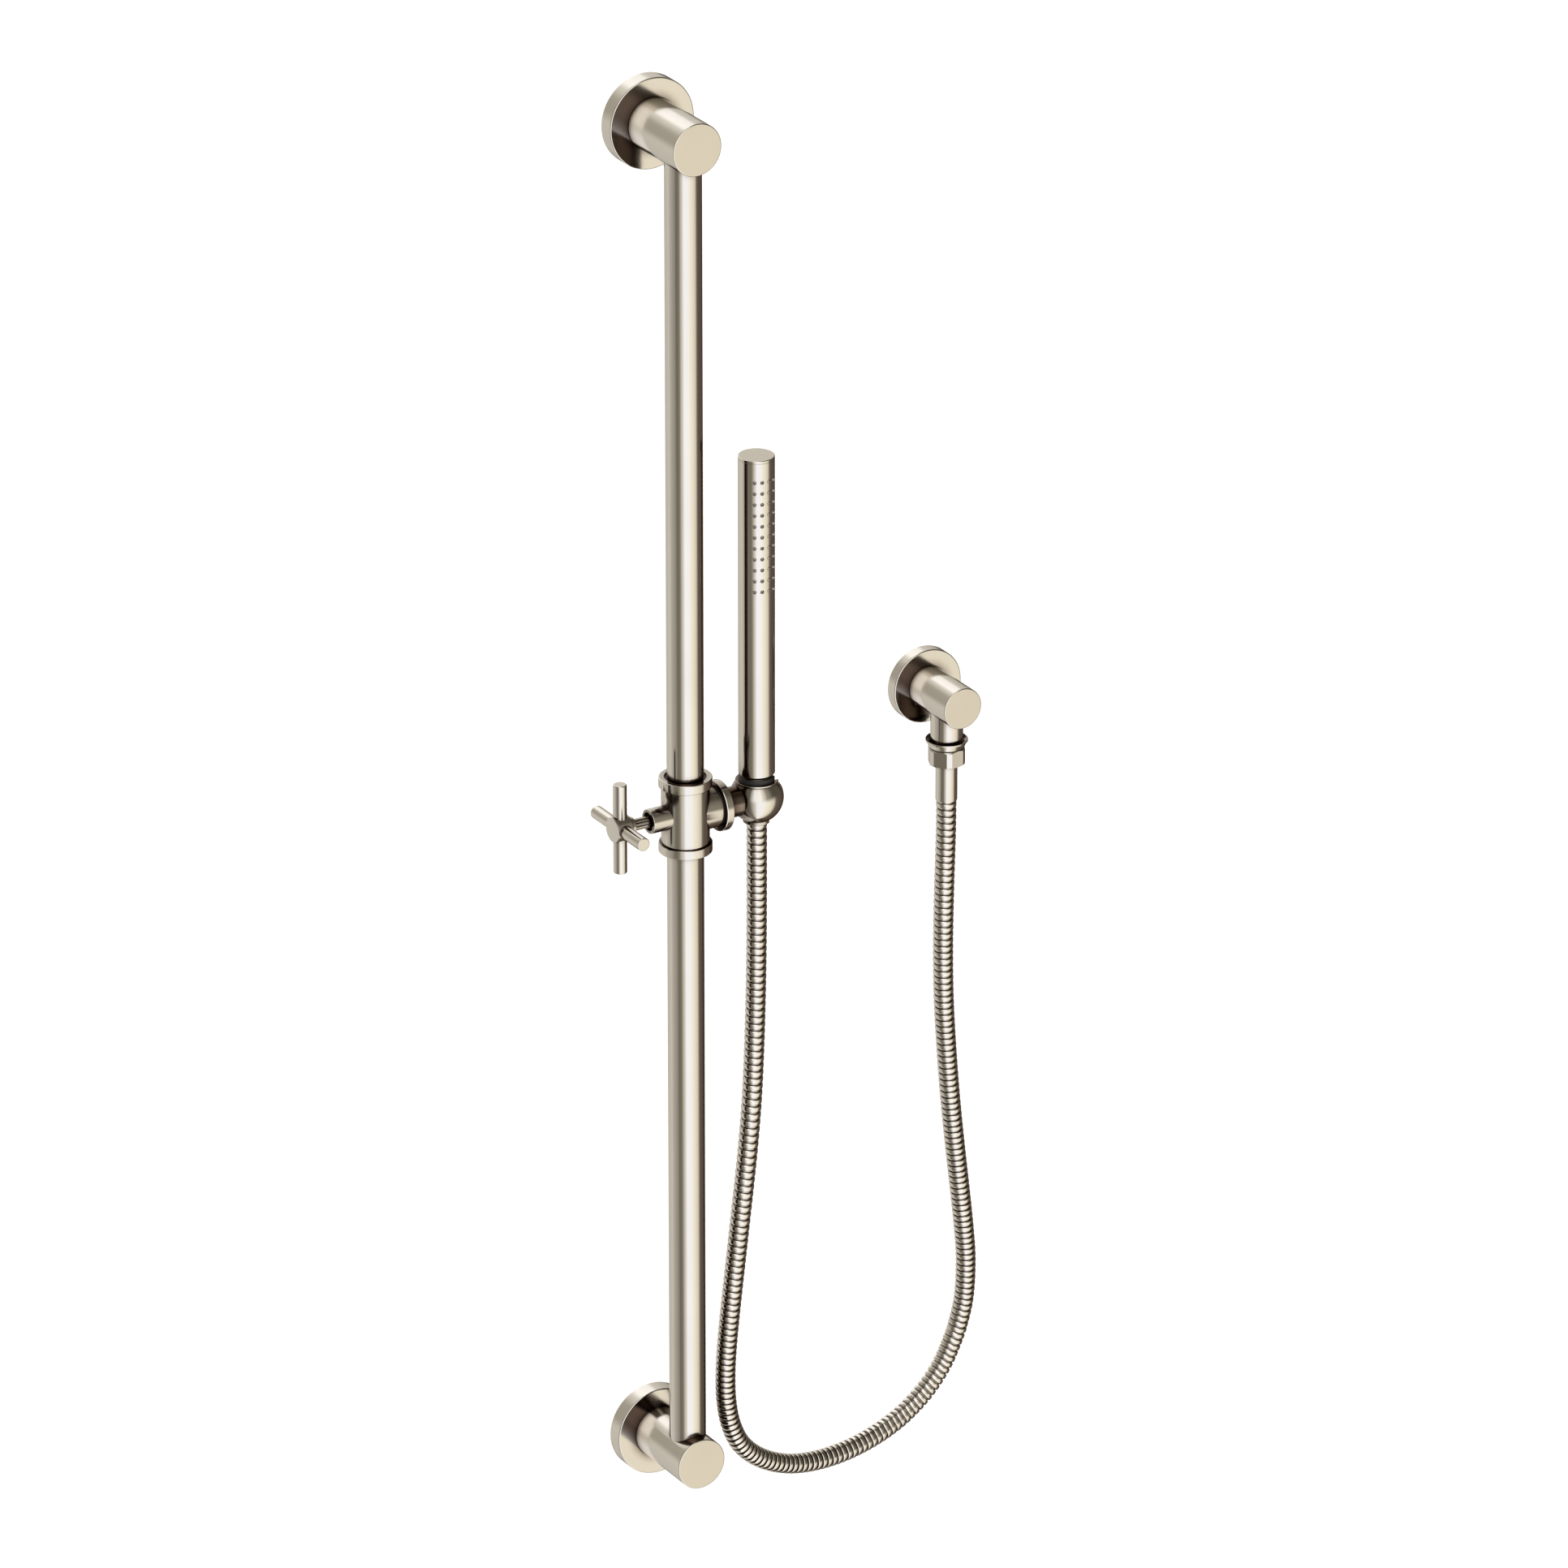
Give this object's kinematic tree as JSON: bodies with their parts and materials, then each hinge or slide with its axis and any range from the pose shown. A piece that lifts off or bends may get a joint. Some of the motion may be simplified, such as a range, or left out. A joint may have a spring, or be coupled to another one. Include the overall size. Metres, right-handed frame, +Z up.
{
  "type": "slide_rail_hand_shower",
  "caption": "Wall-mounted slide rail with a clamped slider and ball holder, stick hand shower with side nozzles, ribbed metal hose and round wall outlet elbow",
  "frame": {"origin": "On the wall plane, at the axis of the lower wall post", "axes": "+Z up along the rail, +X to the right along the wall as seen from the room, -Y out of the wall into the room"},
  "size_m": [0.2991, 0.084, 1.0354],
  "materials": {
    "nickel": "satin brushed nickel plate, warm",
    "hose_metal": "interlocked ribbed metal hose, nickel plate",
    "plain_brass": "machined, hidden",
    "steel": "stainless steel screws",
    "dark_nylon": "moulded nylon, dark",
    "black_rubber": "smooth seal rubber",
    "nozzle_rubber": "soft grey silicone",
    "white_plastic": "moulded acetal"
  },
  "bodies": {
    "wall_set": {"rail_tube": "nickel", "upper_post": "nickel", "lower_post": "nickel", "upper_wall_flange": "nickel", "lower_wall_flange": "nickel", "upper_wall_bracket": "plain_brass", "lower_wall_bracket": "plain_brass", "upper_rail_pad": "dark_nylon", "lower_rail_pad": "dark_nylon", "post_set_screws": "steel", "elbow_body": "nickel", "elbow_flange": "nickel", "check_valve": "white_plastic", "check_valve_seal": "black_rubber", "outlet_ring": "nickel", "outlet_washer": "black_rubber", "outlet_hose_tail": "plain_brass", "hose_nut": "nickel", "hose_ferrule": "nickel", "hose_riser": "hose_metal"},
    "loop": {"hose_loop": "hose_metal"},
    "glide": {"upper_bush": "dark_nylon", "lower_bush": "dark_nylon", "hose_drop": "hose_metal"},
    "slider": {"slider_body": "nickel", "upper_collar": "nickel", "lower_collar": "nickel", "pivot_screw": "steel"},
    "brake": {"brake_pad": "dark_nylon"},
    "handle": {"clamp_screw": "nickel", "handle_hub": "nickel", "handle_arms": "nickel", "hub_screw": "steel", "hub_cap": "nickel"},
    "holder": {"friction_washer": "dark_nylon", "holder_disc": "nickel", "holder_ball": "nickel", "holder_liner": "dark_nylon", "spring_washer": "steel"},
    "hose_end": {"wand_hose_tail": "plain_brass"},
    "wand": {"cone_nut": "nickel", "cone_washer": "black_rubber", "wand_tube": "nickel", "wand_cap": "nickel", "cap_seal": "black_rubber", "wand_inlet": "white_plastic", "inlet_seal": "black_rubber", "flow_restrictor": "white_plastic", "waterway": "white_plastic", "nozzle_panel": "nozzle_rubber"}
  },
  "joints": [
    {"name": "rail_slide", "type": "slide", "parent": "wall_set", "child": "glide", "axis": [0, 0, 1], "range_m": [-0.43, 0.43], "deforming": ["hose_drop", "hose_loop", "hose_riser"]},
    {"name": "slider_turn", "type": "hinge", "parent": "glide", "child": "slider", "pos_m": [0, -0.052, 0.481], "axis": [0, 0, 1], "range_deg": [-15, 35], "deforming": ["hose_drop"]},
    {"name": "handle_turn", "type": "hinge", "parent": "brake", "child": "handle", "pos_m": [-0.0505, -0.052, 0.481], "axis": [-1, 0, 0], "range_deg": [0, 360]},
    {"name": "pad_travel", "type": "slide", "parent": "slider", "child": "brake", "axis": [-1, 0, 0], "range_m": [0, 0.00126]},
    {"name": "holder_tilt", "type": "hinge", "parent": "slider", "child": "holder", "pos_m": [0.0283, -0.052, 0.481], "axis": [1, 0, 0], "range_deg": [-8, 40], "deforming": ["hose_drop"]},
    {"name": "wand_lift", "type": "slide", "parent": "holder", "child": "hose_end", "axis": [0, 0, 1], "range_m": [0, 0.032], "deforming": ["hose_drop"]},
    {"name": "wand_spin", "type": "hinge", "parent": "hose_end", "child": "wand", "pos_m": [0.0554, -0.052, 0.4845], "axis": [0, 0, 1], "continuous": true},
    {"name": "loop_follow", "type": "slide", "parent": "wall_set", "child": "loop", "axis": [0, 0, 1], "range_m": [-0.216, 0.216]}
  ],
  "couplings": [
    {"joint": "pad_travel", "follows": "handle_turn", "m_per_rad": 0.0001989},
    {"joint": "loop_follow", "follows": "rail_slide", "ratio": 0.5}
  ]
}
